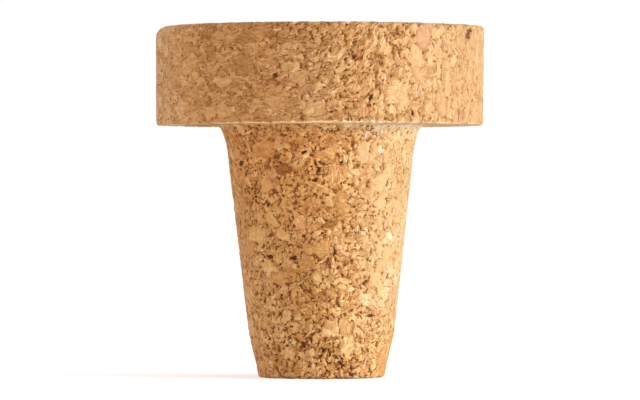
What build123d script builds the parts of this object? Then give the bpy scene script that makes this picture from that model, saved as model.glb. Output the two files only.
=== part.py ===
from build123d import *
import os

# Tapered stopper with a wide flat head, one piece of agglomerated cork, ground round.
# Millimetres, +Z up. The origin is the centre of the tip's end face, and the head is uppermost.

# Head: the disc that is gripped, and that stops the stopper from going in too far
head_diameter = 40.0
head_thickness = 12.0
top_rim_radius = 0.8
underside_rim_chamfer = 0.35

# Shank: the long taper that seals, with a short steeper lead-in at the tip
shank_length = 30.65
shank_diameter_below_flare = 22.8
shank_diameter_above_lead_in = 17.7
lead_in_length = 5.4
tip_diameter = 15.2
tip_edge_chamfer = 0.3

# Flare: the shank widens just under the head and blends into it
flare_length = 2.4
flare_diameter = 24.0
flare_root_radius = 1.1

overall_height = shank_length + head_thickness
flare_start = shank_length - flare_length

# Heights at which the turned section has a corner, counted up from the tip
TIP_EDGE = 0
UNDERSIDE = 3
TOP_RIM = -1


def rings(level):
    """The circular edges at one corner height of the stopper, the smallest first."""
    circles = stopper.edges().filter_by(GeomType.CIRCLE)
    return circles.group_by(Axis.Z)[level].sort_by(SortBy.RADIUS)


with BuildPart() as stopper:
    # Half of the section, from the axis out, turned once about the axis
    with BuildSketch(Plane.XZ):
        with BuildLine():
            Polyline(
                (0, 0),
                (tip_diameter / 2, 0),
                (shank_diameter_above_lead_in / 2, lead_in_length),
                (shank_diameter_below_flare / 2, flare_start),
                (flare_diameter / 2, shank_length),
                (head_diameter / 2, shank_length),
                (head_diameter / 2, overall_height),
                (0, overall_height),
                close=True,
            )
        make_face()
    revolve(axis=Axis.Z)

    # Ground edges, from the top down, so that the lower corners keep their places in the count
    fillet(rings(TOP_RIM), radius=top_rim_radius)
    chamfer(rings(UNDERSIDE)[-1], length=underside_rim_chamfer)
    fillet(rings(UNDERSIDE)[0], radius=flare_root_radius)
    chamfer(rings(TIP_EDGE), length=tip_edge_chamfer)

stopper.part.label = "stopper"

os.makedirs("parts", exist_ok=True)
export_step(stopper.part, "parts/stopper.step")
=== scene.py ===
"""Looks for the cork stopper: a skin of pressed granules, with pits and crevices, on the turned form."""
import math

import bpy
import numpy as np
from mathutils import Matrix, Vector


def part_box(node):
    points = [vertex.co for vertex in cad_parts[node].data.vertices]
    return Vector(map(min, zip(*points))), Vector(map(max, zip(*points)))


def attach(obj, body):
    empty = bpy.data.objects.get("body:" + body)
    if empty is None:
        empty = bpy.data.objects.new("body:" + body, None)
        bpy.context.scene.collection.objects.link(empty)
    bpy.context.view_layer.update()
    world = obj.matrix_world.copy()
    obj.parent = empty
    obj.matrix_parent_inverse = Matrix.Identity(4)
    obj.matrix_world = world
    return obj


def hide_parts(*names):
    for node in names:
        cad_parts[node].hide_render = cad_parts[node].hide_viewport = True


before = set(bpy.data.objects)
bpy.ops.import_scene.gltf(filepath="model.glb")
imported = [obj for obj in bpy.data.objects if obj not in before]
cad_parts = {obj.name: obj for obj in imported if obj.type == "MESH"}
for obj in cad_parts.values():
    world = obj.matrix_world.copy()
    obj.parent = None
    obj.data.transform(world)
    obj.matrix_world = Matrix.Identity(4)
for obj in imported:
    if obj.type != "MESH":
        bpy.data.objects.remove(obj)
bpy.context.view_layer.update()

MM = 0.001
FULL_TURN = 2 * math.pi
NODE = "stopper"

# Section of the turned form, in millimetres above the tip's end face and out from the axis
TOTAL_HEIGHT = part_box(NODE)[1].z / MM
HEAD_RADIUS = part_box(NODE)[1].x / MM
WIDEST = HEAD_RADIUS - 0.01
UNDERSIDE_HEIGHT = 30.65
FLARE_START_HEIGHT = 28.25
LEAD_IN_HEIGHT = 5.4
FLARE_RADIUS = 12.2
SHANK_TOP_RADIUS = 11.44
SHANK_LOW_RADIUS = 8.87
TIP_RADIUS = 7.63
FLARE_ROOT_ROUND = 1.1
SHOULDER_ROUND = 6.0
TIP_EDGE_ROUND = 0.3
UNDERSIDE_RIM_ROUND = 0.25

# The shank is ground a little off the head's axis, to the right: the shift is full at the tip, fades going up,
# and ends at this share of the underside's height
SHANK_SHIFT = 0.18
SHIFT_ENDS = 1.2

# The top rim is worn round on the left and nearly sharp on the right, and the low rim is worn in on the right
TOP_RIM_ROUND_LEFT = 1.3
TOP_RIM_ROUND_RIGHT = 0.3
LOW_RIM_WORN_IN = 0.18

# Nicks in the rims: degrees round from the front to the right, height, reach and depth in millimetres
NICKS = [
    (-35.8, TOTAL_HEIGHT, 0.5, 0.45),
    (50.8, TOTAL_HEIGHT, 0.8, 0.35),
    (66.0, UNDERSIDE_HEIGHT, 0.9, 0.2),
]

# Mesh: a fine skin is displaced and then thinned where it is flat
TURN_STEPS = 720
RIM_ARC_STEPS = 10
SKIN_VOXEL = 0.115
FACE_LIMIT = 190_000

# Camera: level with the middle of the stopper, far off, as a long lens sees it
CAMERA_DISTANCE = 582.0 * MM
CAMERA_HEIGHT = 21.57 * MM
SENSOR_WIDTH = 36.0
LENS = 268.6
NEAREST_SEEN = 0.01


def round_corner(before, corner, after, radius, steps):
    """Points of an arc of this radius in the corner between two straight runs."""
    before, corner, after = (np.array(point, float) for point in (before, corner, after))
    back = (before - corner) / np.linalg.norm(before - corner)
    ahead = (after - corner) / np.linalg.norm(after - corner)
    half_angle = math.acos(np.clip(back @ ahead, -1, 1)) / 2
    reach = radius / math.tan(half_angle)
    middle = (back + ahead) / np.linalg.norm(back + ahead)
    centre = corner + middle * radius / math.sin(half_angle)
    start = corner + back * reach - centre
    end = corner + ahead * reach - centre
    turn = math.atan2(start[0] * end[1] - start[1] * end[0], start @ end)
    return [
        centre + (
            start[0] * math.cos(a) - start[1] * math.sin(a),
            start[0] * math.sin(a) + start[1] * math.cos(a),
        )
        for a in np.linspace(0, turn, steps)
    ]


def profile(top_rim_round, worn_in):
    """The half section from the middle of the top to the middle of the tip, as rows of (radius, height).
    worn_in is how far the head's low rim is rubbed in."""
    corners = [
        (0.0, TOTAL_HEIGHT),
        (HEAD_RADIUS, TOTAL_HEIGHT),
        (HEAD_RADIUS - worn_in, UNDERSIDE_HEIGHT),
        (FLARE_RADIUS, UNDERSIDE_HEIGHT),
        (SHANK_TOP_RADIUS, FLARE_START_HEIGHT),
        (SHANK_LOW_RADIUS, LEAD_IN_HEIGHT),
        (TIP_RADIUS, 0.0),
        (0.0, 0.0),
    ]
    rounds = [
        top_rim_round,
        UNDERSIDE_RIM_ROUND,
        FLARE_ROOT_ROUND,
        SHOULDER_ROUND,
        SHOULDER_ROUND,
        TIP_EDGE_ROUND,
    ]
    points = [np.array(corners[0])]
    for index, radius in enumerate(rounds, start=1):
        points += round_corner(corners[index - 1], corners[index], corners[index + 1], radius, RIM_ARC_STEPS)
    points.append(np.array(corners[-1]))
    return np.array(points)


def turned_mesh():
    """The stopper's closed form, turned in steps, with the rims' wear changing on the way round."""
    sections = []
    for step in range(TURN_STEPS):
        angle = FULL_TURN * step / TURN_STEPS
        right_share = 0.5 + 0.5 * math.cos(angle)
        rim = TOP_RIM_ROUND_LEFT + (TOP_RIM_ROUND_RIGHT - TOP_RIM_ROUND_LEFT) * right_share
        outline = profile(rim, LOW_RIM_WORN_IN * max(0.0, math.cos(angle)) ** 2)[1:-1]
        sections.append(
            np.stack([outline[:, 0] * math.cos(angle), outline[:, 0] * math.sin(angle), outline[:, 1]], 1)
        )
    rings = len(sections[0])
    points = np.concatenate(sections + [[(0.0, 0.0, TOTAL_HEIGHT)], [(0.0, 0.0, 0.0)]])
    points[:, 0] += SHANK_SHIFT * np.clip(SHIFT_ENDS - points[:, 2] / UNDERSIDE_HEIGHT, 0.0, 1.0)
    top, bottom = len(points) - 2, len(points) - 1
    faces = []
    for step in range(TURN_STEPS):
        here, there = step * rings, (step + 1) % TURN_STEPS * rings
        faces.append((top, here, there))
        faces += [(here + i, here + i + 1, there + i + 1, there + i) for i in range(rings - 1)]
        faces.append((bottom, there + rings - 1, here + rings - 1))
    mesh = bpy.data.meshes.new("turned_form")
    mesh.from_pydata((points * MM).tolist(), [], faces)
    mesh.validate()
    return mesh


def applied(piece, mesh_name):
    """Gives the piece the mesh that its modifiers make, under this name, and clears the modifiers."""
    graph = bpy.context.evaluated_depsgraph_get()
    mesh = bpy.data.meshes.new_from_object(piece.evaluated_get(graph), depsgraph=graph)
    piece.modifiers.clear()
    piece.data = mesh
    mesh.name = mesh_name
    return mesh


# Noise: how rough it is, and its detail where it is finely broken and where it is plain
NOISE_ROUGHNESS = 0.55
FINE_DETAIL = 2.0
PLAIN_DETAIL = 1.0
NOISE_MIDDLE = 0.5


class Net:
    """A node tree, for a material or for geometry, with short calls that add a node and give its output."""

    def __init__(self, tree):
        self.tree = tree

    def feed(self, socket, value):
        """Links another node's output to the socket, or sets a fixed value on it."""
        if isinstance(value, bpy.types.NodeSocket):
            self.tree.links.new(value, socket)
        elif value is not None:
            socket.default_value = value

    def add(self, kind, inputs=(), output=0, **settings):
        """Adds a node of this kind, with inputs by name or number."""
        node = self.tree.nodes.new(kind)
        for name, value in settings.items():
            setattr(node, name, value)
        for name, value in dict(inputs).items():
            self.feed(node.inputs[name], value)
        return node.outputs[output]

    def math(self, operation, *values):
        return self.add("ShaderNodeMath", enumerate(values), operation=operation)

    def total(self, *values):
        """The sum of any number of values."""
        result = values[0]
        for value in values[1:]:
            result = self.math("ADD", result, value)
        return result

    def product(self, *values):
        """The product of any number of values."""
        result = values[0]
        for value in values[1:]:
            result = self.math("MULTIPLY", result, value)
        return result

    def one_minus(self, value):
        return self.math("SUBTRACT", 1.0, value)

    def vector(self, operation, *values, output=0):
        return self.add("ShaderNodeVectorMath", enumerate(values), output, operation=operation)

    def scaled(self, vector, factor):
        return self.add("ShaderNodeVectorMath", {0: vector, "Scale": factor}, operation="SCALE")

    def split(self, vector):
        node = self.tree.nodes.new("ShaderNodeSeparateXYZ")
        self.feed(node.inputs[0], vector)
        return node.outputs

    def join(self, x, y, z):
        return self.add("ShaderNodeCombineXYZ", enumerate((x, y, z)))

    def spread(self, value, low, high, to_low=0.0, to_high=1.0, smooth=True):
        """value, taken from the range low to high into another, and held at its ends."""
        kind = "SMOOTHSTEP" if smooth else "LINEAR"
        inputs = {"Value": value, "From Min": low, "From Max": high, "To Min": to_low, "To Max": to_high}
        return self.add("ShaderNodeMapRange", inputs, interpolation_type=kind)

    def even_spread(self, share, low, high):
        """A share from 0 to 1, taken evenly into the range low to high."""
        return self.spread(share, 0.0, 1.0, low, high, smooth=False)

    def blend(self, share, first, second):
        """Between two numbers."""
        return self.add("ShaderNodeMix", {0: share, 2: first, 3: second}, 0, data_type="FLOAT")

    def blend_vector(self, share, first, second):
        return self.add("ShaderNodeMix", {0: share, 4: first, 5: second}, 1, data_type="VECTOR")

    def blend_colour(self, share, first, second, way="MIX"):
        return self.add("ShaderNodeMix", {0: share, 6: first, 7: second}, 2, data_type="RGBA", blend_type=way)

    def tinted(self, share, colour, shade):
        """The colour, multiplied by a shade to this share."""
        return self.blend_colour(share, colour, self.blend_colour(1.0, colour, shade, "MULTIPLY"))

    def noise(self, place, size, detail=FINE_DETAIL, output=0):
        """Noise with features of this size, in the units of place: 0 is a number, 1 a colour."""
        inputs = {"Vector": place, "Scale": 1 / size, "Detail": detail, "Roughness": NOISE_ROUGHNESS}
        return self.add("ShaderNodeTexNoise", inputs, output)

    def wander(self, place, size, reach):
        """Noise about 0, of this size and reach."""
        return self.product(self.math("SUBTRACT", self.noise(place, size), NOISE_MIDDLE), reach)

    def drift(self, place, size):
        """A vector of plain noise about 0."""
        return self.vector("SUBTRACT", self.noise(place, size, PLAIN_DETAIL, 1), (NOISE_MIDDLE,) * 3)

    def cells(self, place, size):
        """Random cells of this size at a place: the distance to the middle, random numbers, the way from the
        middle and the distance to the edge."""
        inputs = {"Vector": place, "Scale": 1 / size, "Randomness": 1.0}
        node = self.tree.nodes.new("ShaderNodeTexVoronoi")
        for name, value in inputs.items():
            self.feed(node.inputs[name], value)
        found = node.outputs
        edge = self.add("ShaderNodeTexVoronoi", inputs, 0, feature="DISTANCE_TO_EDGE")
        return {
            "reach": self.product(found["Distance"], size),
            "chance": found["Color"],
            "offset": self.vector("SUBTRACT", place, found["Position"]),
            "edge": self.product(edge, size),
        }

    def lean(self, cell):
        """The height of a flat facet that leans its own way in each cell."""
        slope = self.vector("SUBTRACT", cell["chance"], (0.5, 0.5, 0.5))
        return self.vector("DOT_PRODUCT", slope, cell["offset"], output=1)

    def ramp(self, value, stops):
        """The colour that the value falls on, between stops of (place, colour) in rising order."""
        node = self.tree.nodes.new("ShaderNodeValToRGB")
        elements = node.color_ramp.elements
        for element, (place, colour) in zip((elements[0], elements[1]), (stops[0], stops[-1])):
            element.position = place
            element.color = colour
        for place, colour in stops[1:-1]:
            elements.new(place).color = colour
        self.feed(node.inputs[0], value)
        return node.outputs[0]


# Granules, in millimetres: two sizes of cells, with small chips over them, bent by a slow and a quick warp
COARSE_GRANULE = 1.9
FINE_GRANULE = 0.95
CHIP = 0.42
COARSE_SHARE = 0.28
COARSE_LEAN = 0.5
FLATTENED_ON_LEFT = 0.5
FLATTENED_ON_RIGHT = -0.28
SLOW_WARP_SIZE = 1.7
SLOW_WARP_REACH = 1.3
QUICK_WARP_SIZE = 0.35
QUICK_WARP_REACH = 0.35

# Growth lines: their width, how much they are drawn out, and the most they turn in a granule, in radians
STROKE_WIDTH = 0.16
STROKE_SHARE_ALONG = 0.11
STROKE_SEEDS = 40.0
STROKE_TURN_ON_SHANK = math.pi
STROKE_TURN_ON_HEAD = 1.6
STANDING_STROKES = 1.15

# Where the cork changes, in millimetres: across from the middle, up from the tip or out from the axis.
# Each is a start and an end, and here and below the values at the two may follow
LEFT_TO_RIGHT = (-4.0, 10.0)
HEAD_STARTS = (UNDERSIDE_HEIGHT - 0.1, UNDERSIDE_HEIGHT + 0.3)
CALM_ON_HEAD = (-1.0, -7.0)
RIGHT_OF_HEAD = (5.0, 14.0)
RIGHT_OF_SHANK = (2.0, 8.0)
RIGHT_OF_SHANK_HEIGHTS = (3.0, 10.0)
TORN_HEIGHTS = (TOTAL_HEIGHT - 4.0, TOTAL_HEIGHT - 0.5)
TORN_ACROSS = (-6.0, 4.0)
TORN_RADII = (HEAD_RADIUS - 2.0, HEAD_RADIUS - 0.5)

# Flanks of the front: the shares of the radius at which they start and end
FLANK = (0.72, 0.98)
EVEN_ON_RIGHT = 0.75
EVEN_ON_FLANK = 0.6

# Band round the head's low rim, in millimetres, with its ragged upper limit: a painted highlight of light from
# below, smooth at its corner
RIM_BAND_RAGGED_SIZE = 0.55
RIM_BAND_RAGGED_REACH = 0.5
RIM_BAND_LOWER_ON_LEFT = (0.0, -14.0, 0.0, 0.2)
RIM_BAND_STARTS = (UNDERSIDE_HEIGHT - 0.25, UNDERSIDE_HEIGHT - 0.15)
RIM_BAND_ENDS = (UNDERSIDE_HEIGHT + 0.34, UNDERSIDE_HEIGHT + 0.1)
RIM_BAND_FAINTER_ON_RIGHT = (2.0, 12.0, 1.0, 0.12)
RIM_BAND_FAINTER_ON_LEFT = (-10.5, -14.0, 1.0, 0.8)
RIM_HIGHLIGHT_RADII = (15.0, 18.2)
SMOOTH_RADII = (18.4, 19.3)

# How loosely the granules lie: slow patches, with what each kind of place adds
LOOSE_PATCH = 3.0
LOOSER_WHERE_TORN = 0.1
LOOSER_WHERE_CALM = -0.2
LOOSER_ON_RIGHT = -0.18
LOOSER_ON_HEAD = -0.12
LOOSER_ON_FLANK = -0.1
LOOSER_AT_TIP = (12.0, 0.0, 0.03, 0.07)
TIGHTNESS = (0.18, 0.80, 1.0, 0.0)

# Joins between granules are dark here and faint there
UNEVEN_PATCH = 0.6
UNEVENNESS = (0.4, 0.65, 0.1, 1.0)

# Pits between granules and smaller holes between chips, from the loosest to the tightest place
PIT_RAGGED_SIZE = 0.4
PIT_RAGGED_REACH = 0.8
PIT_LIMITS = (0.82 * FINE_GRANULE, 1.06 * FINE_GRANULE)
PIT_EDGE = (-0.01, 0.05)
SMALL_HOLE_LIMITS = (0.63 * CHIP, CHIP)
SMALL_HOLE_EDGE = (0.0, 0.03)
CLUSTER = 1.1
CLUSTERED = (0.36, 0.5)
FEWER_ON_RIGHT = -0.08
CLOSED_IN_COARSE = 0.85

# Crevices along the joins
CREVICE_PATCH = 0.5
CREVICE_WIDTHS = (0.49, 0.67, 0.0, 0.17)
CREVICE_EDGE = (-0.03, 0.04)
NARROWER_WHERE_TIGHT = 0.06

# Ovals listed below: their edge, and how ragged it is on granules and on holes
OVAL_EDGE = (1.05, 0.85)
GRANULE_RAGGED_SIZE = 0.7
GRANULE_RAGGED_REACH = 1.3
HOLE_RAGGED_SIZE = 0.35
HOLE_RAGGED_REACH = 2.4

# Granules that stand out on the front: across, height, half length and half width in millimetres, tilt in
# degrees, how much lighter they are, how much paler, and how strong their growth lines are
STANDING_OUT = {
    "brown granule": (-4.4, 25.2, 1.35, 0.65, -4.0, -0.39, 0.0, 0.9),
    "small brown granule": (1.3, 18.7, 0.85, 0.42, 20.0, -0.34, 0.0, 0.8),
    "striped granule": (1.9, 24.4, 1.25, 1.05, 84.0, 0.02, 0.0, 1.3),
    "plain granule": (-6.9, 27.7, 1.45, 1.1, 20.0, -0.02, 0.0, 0.3),
    "dull sliver": (-3.7, 13.1, 1.4, 0.24, -2.0, -0.2, 0.0, 0.5),
    "cream granule": (4.4, 3.9, 0.56, 0.5, 0.0, -0.05, 0.85, 0.4),
    "pale granule": (5.4, 9.8, 0.68, 0.48, -10.0, 0.0, 0.75, 0.3),
    "low smooth granule": (2.3, 8.1, 0.75, 0.5, 10.0, 0.03, 0.1, 0.5),
    "pale sliver": (3.7, 25.7, 0.9, 0.26, 98.0, 0.1, 0.6, 0.5),
    "plain pale granule": (9.0, 34.3, 1.45, 1.4, 0.0, 0.05, 0.2, 0.4),
    "leaf-shaped flake": (0.1, 23.0, 2.2, 0.42, -23.0, 0.03, 0.0, 1.0),
}

# Holes that stand out on the front: across, height, half length and half width in millimetres, and tilt in
# degrees
HOLES = [
    (-9.6, 26.0, 0.34, 0.26, 60.0),
    (-5.3, 36.3, 0.42, 0.24, 45.0),
    (4.0, 38.4, 0.32, 0.22, 70.0),
    (6.0, 33.6, 0.42, 0.24, 70.0),
    (17.9, 41.5, 0.75, 0.34, 80.0),
    (11.0, 31.9, 0.36, 0.2, 110.0),
    (-1.9, 27.3, 0.4, 0.2, 10.0),
    (5.4, 11.6, 0.4, 0.26, 30.0),
    (6.2, 7.6, 0.4, 0.22, 5.0),
    (-6.1, 14.7, 0.38, 0.24, 0.0),
    (-3.2, 14.6, 0.46, 0.22, -10.0),
]


def strokes(net, place, offset, chance, on_head):
    """Fine growth lines, which run their own way across each granule, but mostly level on the head's left and
    upright on its right."""
    around_x, around_y, _ = net.split(place)
    upright = net.product(on_head, net.spread(around_x, *LEFT_TO_RIGHT, 0.0, STANDING_STROKES))
    outward = net.vector("NORMALIZE", net.join(around_x, around_y, 0.0))
    out_x, out_y, _ = net.split(outward)
    around = net.join(net.product(out_y, -1.0), out_x, 0.0)
    across = net.vector("DOT_PRODUCT", offset, around, output=1)
    upward = net.vector("ADD", outward, (0.0, 0.0, 1.0))
    up = net.vector("DOT_PRODUCT", offset, upward, output=1)
    widest_turn = net.blend(on_head, STROKE_TURN_ON_SHANK, STROKE_TURN_ON_HEAD)
    turn = net.product(net.math("SUBTRACT", net.split(chance)[1], 0.5), widest_turn)
    turn = net.total(turn, upright)
    cosine, sine = net.math("COSINE", turn), net.math("SINE", turn)
    along = net.total(net.product(across, cosine), net.product(up, sine))
    aside = net.math("SUBTRACT", net.product(up, cosine), net.product(across, sine))
    seed = net.product(net.split(chance)[2], STROKE_SEEDS)
    return net.noise(net.join(net.product(along, STROKE_SHARE_ALONG), aside, seed), STROKE_WIDTH)


def oval(net, place, ragged, across, height, half_length, half_width, tilt):
    """How far a place on the front is in a tilted oval, 0 to 1, and where it is along and beside the axis."""
    away_x, away_y, away_z = net.split(net.vector("SUBTRACT", place, (across, 0.0, height)))
    cosine, sine = math.cos(math.radians(tilt)), math.sin(math.radians(tilt))
    along = net.total(net.product(away_x, cosine), net.product(away_z, sine))
    aside = net.math("SUBTRACT", net.product(away_z, cosine), net.product(away_x, sine))
    shares = net.join(net.math("DIVIDE", along, half_length), net.math("DIVIDE", aside, half_width), 0.0)
    reach = net.total(net.vector("LENGTH", shares, output=1), ragged)
    in_front = net.math("LESS_THAN", away_y, 0.0)
    return net.product(net.spread(reach, *OVAL_EDGE), in_front), along, aside


def granule_cells(net, place, across, height):
    """The random cells that a place lies in: what is chance in them, and the chips over them."""
    above = net.math("MAXIMUM", net.math("SUBTRACT", height, UNDERSIDE_HEIGHT), 0.0)
    flattened = net.spread(across, *LEFT_TO_RIGHT, FLATTENED_ON_LEFT, FLATTENED_ON_RIGHT)
    pressed = net.vector("ADD", place, net.join(0.0, 0.0, net.product(above, flattened)))
    slow = net.scaled(net.drift(pressed, SLOW_WARP_SIZE), SLOW_WARP_REACH)
    quick = net.scaled(net.drift(pressed, QUICK_WARP_SIZE), QUICK_WARP_REACH)
    warped = net.vector("ADD", net.vector("ADD", pressed, slow), quick)
    coarse = net.cells(warped, COARSE_GRANULE)
    fine = net.cells(warped, FINE_GRANULE)
    is_coarse = net.math("LESS_THAN", net.split(coarse["chance"])[2], COARSE_SHARE)
    offset = net.blend_vector(is_coarse, fine["offset"], coarse["offset"])
    return {
        "is_coarse": is_coarse,
        "fine_reach": fine["reach"],
        "chance": net.blend_vector(is_coarse, fine["chance"], coarse["chance"]),
        "offset": net.vector("SUBTRACT", offset, quick),
        "edge": net.blend(is_coarse, net.math("MINIMUM", fine["edge"], coarse["edge"]), coarse["edge"]),
        "lean": net.blend(is_coarse, net.lean(fine), net.product(net.lean(coarse), COARSE_LEAN)),
        "chip": net.cells(warped, CHIP),
    }


def granules(net, skin):
    """What the pressed granules are at a place on the skin, for the relief and for the colour alike."""
    place = net.scaled(skin, 1 / MM)
    across, _, height = net.split(place)
    on_head = net.spread(height, *HEAD_STARTS)
    cell = granule_cells(net, place, across, height)
    chip = cell["chip"]

    # The head's left is sanded calm, its far right and the shank's right less so, and its top right is torn
    calm = net.product(on_head, net.spread(across, *CALM_ON_HEAD))
    shank_right = net.product(
        net.spread(across, *RIGHT_OF_SHANK), net.spread(height, *RIGHT_OF_SHANK_HEIGHTS)
    )
    to_right = net.blend(on_head, shank_right, net.spread(across, *RIGHT_OF_HEAD))
    radius = net.vector("LENGTH", net.vector("MULTIPLY", place, (1.0, 1.0, 0.0)), output=1)
    aside_share = net.math("DIVIDE", net.math("ABSOLUTE", across), net.math("MAXIMUM", radius, 1.0))
    flank = net.spread(aside_share, *FLANK)
    even = net.math("MAXIMUM", calm, net.product(to_right, EVEN_ON_RIGHT))
    even = net.math("MAXIMUM", even, net.product(flank, EVEN_ON_FLANK))
    torn = net.product(
        net.spread(height, *TORN_HEIGHTS),
        net.spread(across, *TORN_ACROSS),
        net.spread(radius, *TORN_RADII),
    )

    # The head's low rim is painted pale, a painted highlight of light from below, and is smooth at its corner
    rim_band_limit = net.total(
        height,
        net.wander(place, RIM_BAND_RAGGED_SIZE, RIM_BAND_RAGGED_REACH),
        net.spread(across, *RIM_BAND_LOWER_ON_LEFT, smooth=False),
    )
    low_rim = net.product(
        net.spread(height, *RIM_BAND_STARTS),
        net.spread(rim_band_limit, *RIM_BAND_ENDS),
        net.spread(across, *RIM_BAND_FAINTER_ON_RIGHT),
        net.spread(across, *RIM_BAND_FAINTER_ON_LEFT),
    )
    painted_rim_highlight = net.product(low_rim, net.spread(radius, *RIM_HIGHLIGHT_RADII))
    unsmoothed = net.one_minus(net.product(low_rim, net.spread(radius, *SMOOTH_RADII)))

    # Listed granules have no pits, crevices or joins in them, and their own lines and tone
    own_strokes = strokes(net, place, cell["offset"], cell["chance"], on_head)
    unbroken, lighter, paler, stripes = 1.0, 0.0, 0.0, 1.0
    ragged = net.wander(place, GRANULE_RAGGED_SIZE, GRANULE_RAGGED_REACH)
    for across_at, height_at, half_length, half_width, tilt, step, pale, lines in STANDING_OUT.values():
        share, along, aside = oval(net, place, ragged, across_at, height_at, half_length, half_width, tilt)
        line_place = net.join(net.product(along, STROKE_SHARE_ALONG), aside, across_at)
        own_strokes = net.blend(share, own_strokes, net.noise(line_place, STROKE_WIDTH))
        unbroken = net.product(unbroken, net.one_minus(share))
        lighter = net.total(lighter, net.product(share, step))
        paler = net.total(paler, net.product(share, pale))
        stripes = net.total(stripes, net.product(share, lines - 1.0))

    # Pits are left where no granule reaches, with smaller holes in clusters between the chips
    looseness = net.total(
        net.noise(place, LOOSE_PATCH),
        net.product(torn, LOOSER_WHERE_TORN),
        net.product(calm, LOOSER_WHERE_CALM),
        net.product(to_right, LOOSER_ON_RIGHT),
        net.product(on_head, LOOSER_ON_HEAD),
        net.product(flank, LOOSER_ON_FLANK),
        net.spread(height, *LOOSER_AT_TIP),
    )
    tightness = net.spread(looseness, *TIGHTNESS, smooth=False)
    pit_reach = net.total(cell["fine_reach"], net.wander(place, PIT_RAGGED_SIZE, PIT_RAGGED_REACH))
    pit_limit = net.even_spread(tightness, *PIT_LIMITS)
    pit = net.spread(net.math("SUBTRACT", pit_reach, pit_limit), *PIT_EDGE)
    small_hole_limit = net.even_spread(tightness, *SMALL_HOLE_LIMITS)
    small_hole = net.spread(net.math("SUBTRACT", chip["reach"], small_hole_limit), *SMALL_HOLE_EDGE)
    clustered = net.total(net.noise(place, CLUSTER, PLAIN_DETAIL), net.product(to_right, FEWER_ON_RIGHT))
    small_hole = net.product(small_hole, net.spread(clustered, *CLUSTERED))
    open_share = net.one_minus(net.product(cell["is_coarse"], CLOSED_IN_COARSE))
    pit = net.product(net.math("MAXIMUM", pit, small_hole), open_share, unsmoothed, unbroken)

    # Listed holes stay open and dark everywhere
    ragged = net.wander(place, HOLE_RAGGED_SIZE, HOLE_RAGGED_REACH)
    deep = 0.0
    for hole in HOLES:
        deep = net.math("MAXIMUM", deep, oval(net, place, ragged, *hole)[0])

    # Crevices open here and there along the joins, and the joins are dark here and faint there
    width = net.spread(net.noise(place, CREVICE_PATCH), *CREVICE_WIDTHS)
    width = net.math("SUBTRACT", width, net.product(tightness, NARROWER_WHERE_TIGHT))
    crevice = net.spread(net.math("SUBTRACT", width, cell["edge"]), *CREVICE_EDGE)
    unevenness = net.spread(net.noise(place, UNEVEN_PATCH, PLAIN_DETAIL), *UNEVENNESS)
    return {
        "place": place,
        "across": across,
        "height": height,
        "radius": radius,
        "on_head": on_head,
        "calm": calm,
        "even": even,
        "to_right": to_right,
        "painted_rim_highlight": painted_rim_highlight,
        "chance": cell["chance"],
        "edge": cell["edge"],
        "lean": cell["lean"],
        "chip": chip,
        "unbroken": unbroken,
        "unevenness": net.product(unevenness, unbroken),
        "lighter": lighter,
        "paler": paler,
        "stripes": stripes,
        "strokes": own_strokes,
        "pit": net.math("MAXIMUM", pit, deep),
        "deep": deep,
        "crevice": net.product(crevice, unsmoothed, unbroken),
    }


# Relief, in millimetres below the turned form, and the sizes of its noise
PIT_DEPTH = 0.3
CREVICE_DEPTH = 0.14
LEAN_DEPTH = 0.4
LEVEL_DEPTH = -0.07
SWELL_DEPTH = 0.14
SWELL_SIZE = 1.3
GRAIN_DEPTH = 0.12
GRAIN_SIZE = 0.45
CALM_SHARE = 0.5


def relief(net, skin):
    """How far the skin lies below the turned form, in metres."""
    cork = granules(net, skin)
    softness = net.blend(cork["even"], 1.0, CALM_SHARE)
    holes = net.product(cork["pit"], PIT_DEPTH)
    holes = net.math("MAXIMUM", holes, net.product(cork["crevice"], CREVICE_DEPTH))
    lean = net.product(cork["lean"], LEAN_DEPTH)
    grain = net.product(net.noise(cork["place"], GRAIN_SIZE), GRAIN_DEPTH)
    swell = net.product(net.noise(cork["place"], SWELL_SIZE, PLAIN_DETAIL), SWELL_DEPTH)
    level = net.math("MAXIMUM", net.total(lean, grain, swell, LEVEL_DEPTH), 0.0)
    return net.product(net.total(holes, net.product(level, softness)), MM)


def relief_group():
    """Geometry nodes that keep the place of each point of the skin, and its depth, as attributes."""
    tree = bpy.data.node_groups.new("cork_relief", "GeometryNodeTree")
    tree.interface.new_socket("Geometry", in_out="INPUT", socket_type="NodeSocketGeometry")
    tree.interface.new_socket("Geometry", in_out="OUTPUT", socket_type="NodeSocketGeometry")
    net = Net(tree)
    start = tree.nodes.new("NodeGroupInput").outputs[0]
    skin = net.add("GeometryNodeInputPosition")
    kept = net.add(
        "GeometryNodeStoreNamedAttribute", {"Geometry": start, "Name": "skin", "Value": skin},
        data_type="FLOAT_VECTOR", domain="POINT",
    )
    deep = net.add(
        "GeometryNodeStoreNamedAttribute", {"Geometry": kept, "Name": "depth", "Value": relief(net, skin)},
        data_type="FLOAT", domain="POINT",
    )
    net.feed(tree.nodes.new("NodeGroupOutput").inputs[0], deep)
    return tree


def column(mesh, name, width):
    """An attribute of the mesh's points as an array."""
    values = np.empty(len(mesh.vertices) * width, np.float32)
    mesh.attributes[name].data.foreach_get("vector" if width > 1 else "value", values)
    return values.reshape(-1, width) if width > 1 else values


def nick_depth(places, angle, height, reach, depth):
    """How deep a small nick in the head's side goes at each place, in metres, with smooth edges."""
    turn = math.radians(angle)
    middle = np.array([HEAD_RADIUS * math.sin(turn), -HEAD_RADIUS * math.cos(turn), height]) * MM
    share = np.clip(1 - np.linalg.norm(places - middle, axis=1) / (reach * MM), 0, 1)
    return depth * MM * share * share * (3 - 2 * share)


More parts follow.
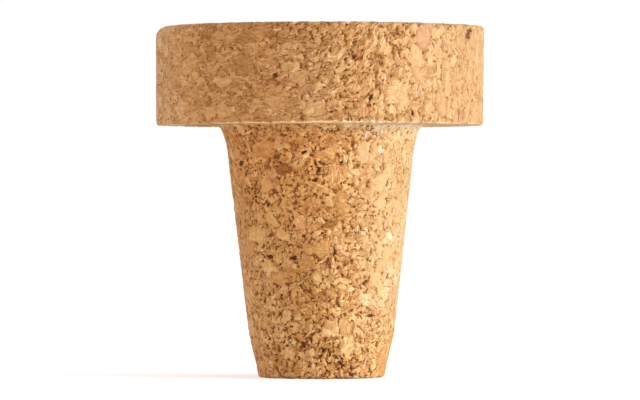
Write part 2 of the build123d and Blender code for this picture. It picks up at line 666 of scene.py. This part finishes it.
def sink(mesh):
    """Moves each point of the skin in by its depth."""
    count = len(mesh.vertices)
    places = np.empty(count * 3, np.float32)
    normals = np.empty(count * 3, np.float32)
    mesh.vertices.foreach_get("co", places)
    mesh.vertex_normals.foreach_get("vector", normals)
    depth = np.maximum(column(mesh, "depth", 1), 0.0)
    for nick in NICKS:
        depth += nick_depth(places.reshape(-1, 3), *nick)
    moved = places.reshape(-1, 3) - normals.reshape(-1, 3) * depth[:, None]
    mesh.vertices.foreach_set("co", moved.ravel())
    mesh.update()


def thin(piece, limit):
    """Drops the points that the flat places don't need, down to this many faces."""
    triangles = sum(len(face.vertices) - 2 for face in piece.data.polygons)
    fewer = piece.modifiers.new("fewer", "DECIMATE")
    fewer.ratio = min(1.0, limit / triangles)
    fewer.use_collapse_triangulate = True
    return applied(piece, "cork_skin")


def keep_inside(mesh):
    """Brings points that lie outside the stopper's overall height and radius back to it."""
    places = np.empty(len(mesh.vertices) * 3, np.float32)
    mesh.vertices.foreach_get("co", places)
    places = places.reshape(-1, 3)
    places[:, 2] = np.clip(places[:, 2], 0.0, TOTAL_HEIGHT * MM)
    out = np.hypot(places[:, 0], places[:, 1])
    inside = np.minimum(1.0, WIDEST * MM / np.maximum(out, MM))
    places[:, :2] *= inside[:, None]
    mesh.vertices.foreach_set("co", places.ravel())
    mesh.update()


# Places of the parts of the flat map for baking, in millimetres on a square sheet
SHEET = 100.0
TOP_MIDDLE = (20.5, 20.5)
UNDERSIDE_MIDDLE = (62.5, 20.5)
TIP_MIDDLE = (91.5, 9.0)
SHANK_CORNER = (12.0, 42.0)
HEAD_CORNERS = ((18.0, 75.0), (18.0, 87.5))


def flat_map(mesh):
    """Lays the skin out flat for baking: discs for the ends and underside, strips for the head and shank."""
    corners = np.empty(len(mesh.loops), np.int32)
    mesh.loops.foreach_get("vertex_index", corners)
    places = (column(mesh, "skin", 3) / MM)[corners].reshape(-1, 3, 3)
    middles = places.mean(axis=1)
    out, height = np.hypot(middles[:, 0], middles[:, 1]), middles[:, 2]
    turn = np.arctan2(middles[:, 0], -middles[:, 1])
    corner_turn = np.arctan2(places[:, :, 0], -places[:, :, 1])
    corner_turn += FULL_TURN * np.round((turn[:, None] - corner_turn) / FULL_TURN)
    flat = places[:, :, :2] + TOP_MIDDLE
    is_top = height - out > TOTAL_HEIGHT - HEAD_RADIUS
    is_tip = height + out < TIP_RADIUS
    in_rim = height + out < UNDERSIDE_HEIGHT + HEAD_RADIUS
    is_under = in_rim & (height + out > UNDERSIDE_HEIGHT + FLARE_RADIUS)
    is_side = ~is_top & ~is_under & (height > UNDERSIDE_HEIGHT)
    is_shank = ~is_top & ~is_tip & ~is_under & ~is_side
    flat[is_under] = places[is_under, :, :2] * (1.0, -1.0) + UNDERSIDE_MIDDLE
    flat[is_tip] = places[is_tip, :, :2] * (1.0, -1.0) + TIP_MIDDLE
    around = np.stack([corner_turn * FLARE_RADIUS + math.pi * FLARE_RADIUS, places[:, :, 2]], axis=2)
    flat[is_shank] = around[is_shank] + SHANK_CORNER
    for half, corner in enumerate(HEAD_CORNERS):
        here = is_side & ((turn > 0) == bool(half))
        start = (half - 1) * math.pi
        strip = np.stack([(corner_turn - start) * HEAD_RADIUS, places[:, :, 2] - UNDERSIDE_HEIGHT], axis=2)
        flat[here] = strip[here] + corner
    layer = mesh.uv_layers.new(name="OFBake")
    layer.data.foreach_set("uv", (flat / SHEET).astype(np.float32).ravel())


def cork_piece():
    """The stopper's skin: the turned form in an even fine mesh, sunk by its relief and thinned."""
    piece = bpy.data.objects.new("cork_stopper", turned_mesh())
    bpy.context.scene.collection.objects.link(piece)
    even = piece.modifiers.new("even", "REMESH")
    even.mode = "VOXEL"
    even.voxel_size = SKIN_VOXEL * MM
    even.use_smooth_shade = True
    applied(piece, "even_skin")
    nodes = piece.modifiers.new("relief", "NODES")
    nodes.node_group = relief_group()
    applied(piece, "deep_skin")
    sink(piece.data)
    mesh = thin(piece, FACE_LIMIT)
    keep_inside(mesh)
    flat_map(mesh)
    mesh.polygons.foreach_set("use_smooth", [True] * len(mesh.polygons))
    return piece


# Tones of the cork, from the bottom of a pit to the palest granule, as light that the surface gives back
TONES = [
    (0.0, (0.120, 0.032, 0.005, 1.0)),
    (0.2, (0.280, 0.090, 0.015, 1.0)),
    (0.4, (0.450, 0.182, 0.044, 1.0)),
    (0.6, (0.640, 0.295, 0.090, 1.0)),
    (0.8, (0.780, 0.428, 0.165, 1.0)),
    (1.0, (0.880, 0.605, 0.315, 1.0)),
]
MEAN_TONE = 0.63

# What the tone varies with: the granule, its growth lines, specks, slow patches and chips
GRANULE_TONES = (-0.11, 0.11)
LINE_TONES = (0.25, 0.75, -0.18, 0.18)
LINES_BY_GRANULE = (0.5, 1.35)
LINES_WHERE_CALM = 1.2
SPECK_SIZE = 0.16
SPECK_TONES = (0.25, 0.75, -0.085, 0.085)
PATCH_SIZE = 4.0
PATCH_TONES = (0.3, 0.7, -0.025, 0.025)
CHIP_TONES = (-0.06, 0.06)

# How strong that is: less in the middle of the shank, on the head and to the right
MID_SHANK_STARTS = (4.0, 9.0)
MID_SHANK_ENDS = (27.0, 23.0)
CONTRAST_ON_SHANK = (0.0, 1.0, 1.28, 1.14)
CONTRAST_ON_HEAD = 1.02
CONTRAST_TO_RIGHT = (0.0, 1.0, 1.0, 0.6)

# Joins between the granules and, in patches, between the chips
JOIN_TONES = (0.0, 0.12, -0.25, 0.0)
CHIP_JOIN_TONES = (0.0, 0.05, -0.12, 0.0)
CHIP_JOIN_PATCH = 0.8
CHIP_JOINS_SHOW = (0.42, 0.62)
JOINS_WHERE_EVEN = (0.0, 1.0, 1.0, 0.4)

# Duller and brighter places on the head and on the shank: bruises, and painted shade and painted light
# Painted shade on the head's left, away from the key lamp
HEAD_LEFT_STARTS = (-17.0, -13.0)
HEAD_LEFT_ENDS = (0.0, -8.0)
PAINTED_SHADE_HEAD_LEFT_TONE = -0.1
BRUISE_HEIGHTS = (36.0, 39.5)
BRUISE_PATCH = 2.6
BRUISE_TONES = (0.42, 0.6, 0.0, -0.09)
# Painted shade on the head's right, where the key lamp falls strongest
PAINTED_SHADE_HEAD_RIGHT_TONE = -0.08
SHANK_TONES = (0.0, 12.0, 0.06, 0.025)
# Painted light on the flare under the head, where the head's shade falls, strongest to the right
PAINTED_LIGHT_FLARE_HEIGHTS = (28.0, 30.2)
PAINTED_LIGHT_FLARE_TONES = (-4.0, 8.0, 0.0, 0.2)
# Painted light on the flare's top, just under the head
PAINTED_LIGHT_UNDERSIDE_TONES = (29.9, 30.5, 0.0, 0.16)
PAINTED_LIGHT_UNDERSIDE_RADII = (15.0, 12.5)
# Painted shade high on the shank's right
PAINTED_SHADE_HIGH_RIGHT_TONES = (18.0, 24.0, 0.0, -0.05)
# Painted highlight of light from below on the head's low rim
RIM_HIGHLIGHT_TONE = 0.56

# Tones in the holes, which are shallower where the cork is even
SHALLOW_TONE = 0.14
CREVICE_TONE = 0.14
CREVICE_SHARE = 0.9
PIT_TONE_ON_SHANK = 0.03
PIT_TONE_ON_HEAD = 0.1
DEEP_TONE_ON_SHANK = 0.02
DEEP_TONE_ON_HEAD = 0.05


def cork_tone(net, cork):
    """How light the cork is at a place, from 0 to 1, with painted shade and painted light in places."""
    place, height, across = cork["place"], cork["height"], cork["across"]
    on_head, to_right, unbroken = cork["on_head"], cork["to_right"], cork["unbroken"]
    off_head = net.one_minus(on_head)
    tone, _, line_strength = net.split(cork["chance"])

    # The granules' own variation
    own = net.product(net.even_spread(tone, *GRANULE_TONES), unbroken)
    striped = net.even_spread(line_strength, *LINES_BY_GRANULE)
    lines = net.product(
        net.spread(cork["strokes"], *LINE_TONES, smooth=False),
        net.blend(unbroken, cork["stripes"], striped),
        net.blend(cork["calm"], 1.0, LINES_WHERE_CALM),
    )
    specks = net.spread(net.noise(place, SPECK_SIZE), *SPECK_TONES, smooth=False)
    patches = net.spread(net.noise(place, PATCH_SIZE, PLAIN_DETAIL), *PATCH_TONES)
    chip = net.even_spread(net.split(cork["chip"]["chance"])[0], *CHIP_TONES)
    mid_shank = net.product(net.spread(height, *MID_SHANK_STARTS), net.spread(height, *MID_SHANK_ENDS))
    contrast = net.blend(on_head, net.spread(mid_shank, *CONTRAST_ON_SHANK), CONTRAST_ON_HEAD)
    contrast = net.product(contrast, net.spread(to_right, *CONTRAST_TO_RIGHT))
    varied = net.product(net.total(own, lines, specks, patches, chip), contrast)
    varied = net.total(varied, cork["lighter"])

    # The joins
    join = net.product(net.spread(cork["edge"], *JOIN_TONES), cork["unevenness"])
    chip_joins_show = net.spread(net.noise(place, CHIP_JOIN_PATCH, PLAIN_DETAIL), *CHIP_JOINS_SHOW)
    chip_join = net.product(net.spread(cork["chip"]["edge"], *CHIP_JOIN_TONES), chip_joins_show, unbroken)
    join = net.product(net.total(join, chip_join), net.spread(cork["even"], *JOINS_WHERE_EVEN))

    # Places that are duller or brighter than the rest: bruises, and painted shade and painted light
    # Painted shade on the head's left and right, with bruises
    left_of_middle = net.product(net.spread(across, *HEAD_LEFT_STARTS), net.spread(across, *HEAD_LEFT_ENDS))
    bruised = net.spread(net.noise(place, BRUISE_PATCH), *BRUISE_TONES)
    painted_shade_and_bruises = net.total(
        net.product(left_of_middle, on_head, PAINTED_SHADE_HEAD_LEFT_TONE),
        net.product(net.spread(height, *BRUISE_HEIGHTS), left_of_middle, bruised),
        net.product(to_right, on_head, PAINTED_SHADE_HEAD_RIGHT_TONE),
    )
    brighter = net.product(off_head, net.spread(height, *SHANK_TONES))
    # Painted light on the flare under the head, with painted shade high on the shank's right
    painted_light_and_shade_below_head = net.total(
        net.product(net.spread(height, *PAINTED_LIGHT_FLARE_HEIGHTS), off_head, net.spread(across, *PAINTED_LIGHT_FLARE_TONES)),
        net.product(to_right, net.spread(height, *PAINTED_SHADE_HIGH_RIGHT_TONES), off_head),
    )
    # Painted light on the flare's top, just under the head
    painted_light_under_head = net.product(
        net.spread(height, *PAINTED_LIGHT_UNDERSIDE_TONES), off_head, net.spread(cork["radius"], *PAINTED_LIGHT_UNDERSIDE_RADII)
    )
    # Painted highlight on the head's low rim
    painted_rim_highlight = net.product(cork["painted_rim_highlight"], RIM_HIGHLIGHT_TONE)
    light = net.total(MEAN_TONE, varied, join, painted_shade_and_bruises, brighter, painted_light_and_shade_below_head, painted_light_under_head, painted_rim_highlight)

    # The holes
    shallow = net.product(cork["even"], SHALLOW_TONE)
    light = net.blend(net.product(cork["crevice"], CREVICE_SHARE), light, net.total(shallow, CREVICE_TONE))
    pit_tone = net.blend(on_head, PIT_TONE_ON_SHANK, PIT_TONE_ON_HEAD)
    light = net.blend(cork["pit"], light, net.total(shallow, pit_tone))
    return net.blend(cork["deep"], light, net.blend(on_head, DEEP_TONE_ON_SHANK, DEEP_TONE_ON_HEAD))


# Shades that a tone's colour is multiplied by, and where: by chance, across, height or the distance to a join
ROSE_SHADE = (1.0, 0.95, 1.08, 1.0)
ROSE_CHANCE = (0.82, 0.9)
CREAM_SHADE = (1.08, 1.3, 1.6, 1.0)
CREAM_CHANCE = (0.965, 0.985)
MORE_CREAM_ON_RIGHT = (2.0, 10.0, 0.0, 0.05)
CREAM_EDGE = (0.02, 0.12)
# Painted sheen of the key lamp: the right side paler
PAINTED_SHEEN_TINT = (1.0, 1.15, 1.48, 1.0)
PAINTED_SHEEN_ON_HEAD = 0.6
RUDDY_SHADE = (1.06, 0.99, 0.9, 1.0)
RUDDY_HEIGHTS = (12.0, 26.0)
RUDDY_ACROSS = (6.0, -2.0)
HEAD_SHADE = (0.99, 1.01, 1.14, 1.0)
# Painted highlight on the head's low rim, warmer
RIM_HIGHLIGHT_TINT = (1.14, 1.08, 1.0, 1.0)

# Surface: the heights of the fine bump in millimetres, the roughness by the distance to a join, and the sheen
BUMP_CHIP_LEAN = 0.5
BUMP_GRAIN = 0.07
BUMP_LINES = 0.12
ROUGHNESS = (0.0, 0.3, 0.7, 0.55)
SPECULAR_LEVEL = 0.2
SHEEN = 0.2
SHEEN_ROUGHNESS = 0.4
SHEEN_TINT = (1.0, 0.78, 0.5, 1.0)


def cork_colour(net, cork):
    """The cork's colour at a place: its tone, shaded by the granule and by the part of the stopper, with a
    painted sheen on the right side and a painted highlight on the head's low rim.
    """
    on_head, to_right = cork["on_head"], cork["to_right"]
    _, hue, rare = net.split(cork["chance"])
    whole = net.one_minus(net.math("MAXIMUM", cork["pit"], cork["crevice"]))
    common = net.product(whole, cork["unbroken"])
    colour = net.ramp(cork_tone(net, cork), TONES)
    colour = net.tinted(net.product(net.spread(hue, *ROSE_CHANCE), common), colour, ROSE_SHADE)
    cream_chance = net.total(rare, net.spread(cork["across"], *MORE_CREAM_ON_RIGHT))
    cream = net.product(
        net.spread(cream_chance, *CREAM_CHANCE), common, net.spread(cork["edge"], *CREAM_EDGE)
    )
    colour = net.tinted(net.total(cream, net.product(cork["paler"], whole)), colour, CREAM_SHADE)
    # Painted sheen on the right side
    painted_sheen = net.product(to_right, net.blend(on_head, 1.0, PAINTED_SHEEN_ON_HEAD), whole)
    colour = net.tinted(painted_sheen, colour, PAINTED_SHEEN_TINT)
    ruddy = net.product(
        net.spread(cork["height"], *RUDDY_HEIGHTS),
        net.spread(cork["across"], *RUDDY_ACROSS),
        net.one_minus(on_head),
        whole,
    )
    colour = net.tinted(ruddy, colour, RUDDY_SHADE)
    colour = net.tinted(on_head, colour, HEAD_SHADE)
    # Painted highlight on the head's low rim
    return net.tinted(cork["painted_rim_highlight"], colour, RIM_HIGHLIGHT_TINT)


def cork_material():
    """Matte cork, with the fine grain that the relief leaves out as bump."""
    material = bpy.data.materials.new("cork")
    material.use_nodes = True
    tree = material.node_tree
    tree.nodes.clear()
    net = Net(tree)
    cork = granules(net, net.add("ShaderNodeAttribute", output=1, attribute_name="skin"))
    grain = net.product(net.noise(cork["place"], SPECK_SIZE), BUMP_GRAIN)
    lines = net.product(cork["strokes"], BUMP_LINES)
    chip_lean = net.product(net.lean(cork["chip"]), BUMP_CHIP_LEAN)
    height = net.math("SUBTRACT", net.total(grain, lines), chip_lean)
    height = net.product(height, net.blend(cork["even"], 1.0, CALM_SHARE))
    bump = net.add("ShaderNodeBump", {"Strength": 1.0, "Distance": MM, "Height": height})
    surface = net.add("ShaderNodeBsdfPrincipled", {
        "Base Color": cork_colour(net, cork),
        "Roughness": net.spread(cork["edge"], *ROUGHNESS),
        "Specular IOR Level": SPECULAR_LEVEL,
        "Sheen Weight": SHEEN,
        "Sheen Tint": SHEEN_TINT,
        "Sheen Roughness": SHEEN_ROUGHNESS,
        "Normal": bump,
    })
    net.feed(tree.nodes.new("ShaderNodeOutputMaterial").inputs["Surface"], surface)
    return material


# Studio: white all round, a wide soft lamp low on the right, a weak one low on the left in front,
# and a white floor that keeps a faint shadow
WORLD_LIGHT = 0.69
KEY_COLOUR = (0.86, 1.03, 1.12)
FILL_COLOUR = (1.0, 0.97, 0.9)
WHITE = (1.0, 1.0, 1.0, 1.0)
BACKGROUND_WHITE = 1.0
FLOOR_RADIUS = 0.45
FLOOR_STEPS = 96
FLOOR_FADES = (FLOOR_RADIUS * 0.3, FLOOR_RADIUS * 0.95)
FLOOR_WHITE = 0.95
FLOOR_LIFT = 0.36


def background_rays(net):
    """1 for a camera ray, and 1 for each ray that sees the white background: camera, gloss or glass."""
    path = net.tree.nodes.new("ShaderNodeLightPath").outputs
    seen = net.math("MAXIMUM", path["Is Camera Ray"], path["Is Glossy Ray"])
    return path["Is Camera Ray"], net.math("MAXIMUM", seen, path["Is Transmission Ray"])


def white_world():
    """White where it is seen, and a plainer level as light."""
    world = bpy.data.worlds.new("studio")
    bpy.context.scene.world = world
    world.use_nodes = True
    tree = world.node_tree
    tree.nodes.clear()
    net = Net(tree)
    _, seen = background_rays(net)
    strength = net.blend(seen, WORLD_LIGHT, BACKGROUND_WHITE)
    glow = net.add("ShaderNodeBackground", {"Color": WHITE, "Strength": strength})
    net.feed(tree.nodes.new("ShaderNodeOutputWorld").inputs["Surface"], glow)


def floor_material():
    """Matte white, a little lifted for the camera alone, which fades into the white behind it."""
    material = bpy.data.materials.new("pale_floor")
    material.use_nodes = True
    tree = material.node_tree
    tree.nodes.clear()
    net = Net(tree)
    distance = net.vector("LENGTH", net.add("ShaderNodeTexCoord", output=3), output=1)
    fade = net.spread(distance, *FLOOR_FADES)
    camera_ray, seen = background_rays(net)
    matte = net.add("ShaderNodeBsdfDiffuse", {"Color": (FLOOR_WHITE, FLOOR_WHITE, FLOOR_WHITE, 1.0)})
    lift = net.add("ShaderNodeEmission", {"Strength": net.product(camera_ray, FLOOR_LIFT)})
    lit = net.add("ShaderNodeAddShader", enumerate((matte, lift)))
    glow = net.add("ShaderNodeEmission", {"Color": WHITE, "Strength": BACKGROUND_WHITE})
    surface = net.add("ShaderNodeMixShader", {0: net.product(fade, seen), 1: lit, 2: glow})
    net.feed(tree.nodes.new("ShaderNodeOutputMaterial").inputs["Surface"], surface)
    return material


def pale_floor():
    """A white disc under the stopper."""
    mesh = bpy.data.meshes.new("floor")
    turns = [FULL_TURN * step / FLOOR_STEPS for step in range(FLOOR_STEPS)]
    ring = [(FLOOR_RADIUS * math.cos(turn), FLOOR_RADIUS * math.sin(turn), 0.0) for turn in turns]
    mesh.from_pydata(ring, [], [tuple(range(FLOOR_STEPS))])
    mesh.materials.append(floor_material())
    floor = bpy.data.objects.new("floor", mesh)
    bpy.context.scene.collection.objects.link(floor)


def soft_lamp(name, place, width, height, power, colour):
    """An upright rectangular area lamp at this place, in metres, aimed at the middle of the stopper."""
    data = bpy.data.lights.new(name, "AREA")
    data.shape = "RECTANGLE"
    data.size = width
    data.size_y = height
    data.energy = power
    data.color = colour
    lamp = bpy.data.objects.new(name, data)
    lamp.location = place
    aim = Vector((0.0, 0.0, CAMERA_HEIGHT)) - Vector(place)
    lamp.rotation_euler = aim.to_track_quat("-Z", "Y").to_euler()
    lamp.visible_camera = False
    bpy.context.scene.collection.objects.link(lamp)


def level_camera():
    """The photo's view: straight ahead from the front."""
    data = bpy.data.cameras.new("camera")
    data.sensor_width = SENSOR_WIDTH
    data.lens = LENS
    data.clip_start = NEAREST_SEEN
    camera = bpy.data.objects.new("camera", data)
    camera.location = (0.0, -CAMERA_DISTANCE, CAMERA_HEIGHT)
    camera.rotation_euler = (math.pi / 2, 0.0, 0.0)
    bpy.context.scene.collection.objects.link(camera)
    bpy.context.scene.camera = camera


piece = cork_piece()
piece.data.materials.clear()
piece.data.materials.append(cork_material())
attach(piece, "root")
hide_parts(NODE)

white_world()
pale_floor()
soft_lamp("key", place=(0.475, -0.127, 0.065), width=0.3, height=0.12, power=3.0, colour=KEY_COLOUR)
soft_lamp("fill", place=(-0.3, -0.48, 0.06), width=0.4, height=0.1, power=0.7, colour=FILL_COLOUR)
level_camera()
bpy.context.scene.view_settings.view_transform = "Standard"
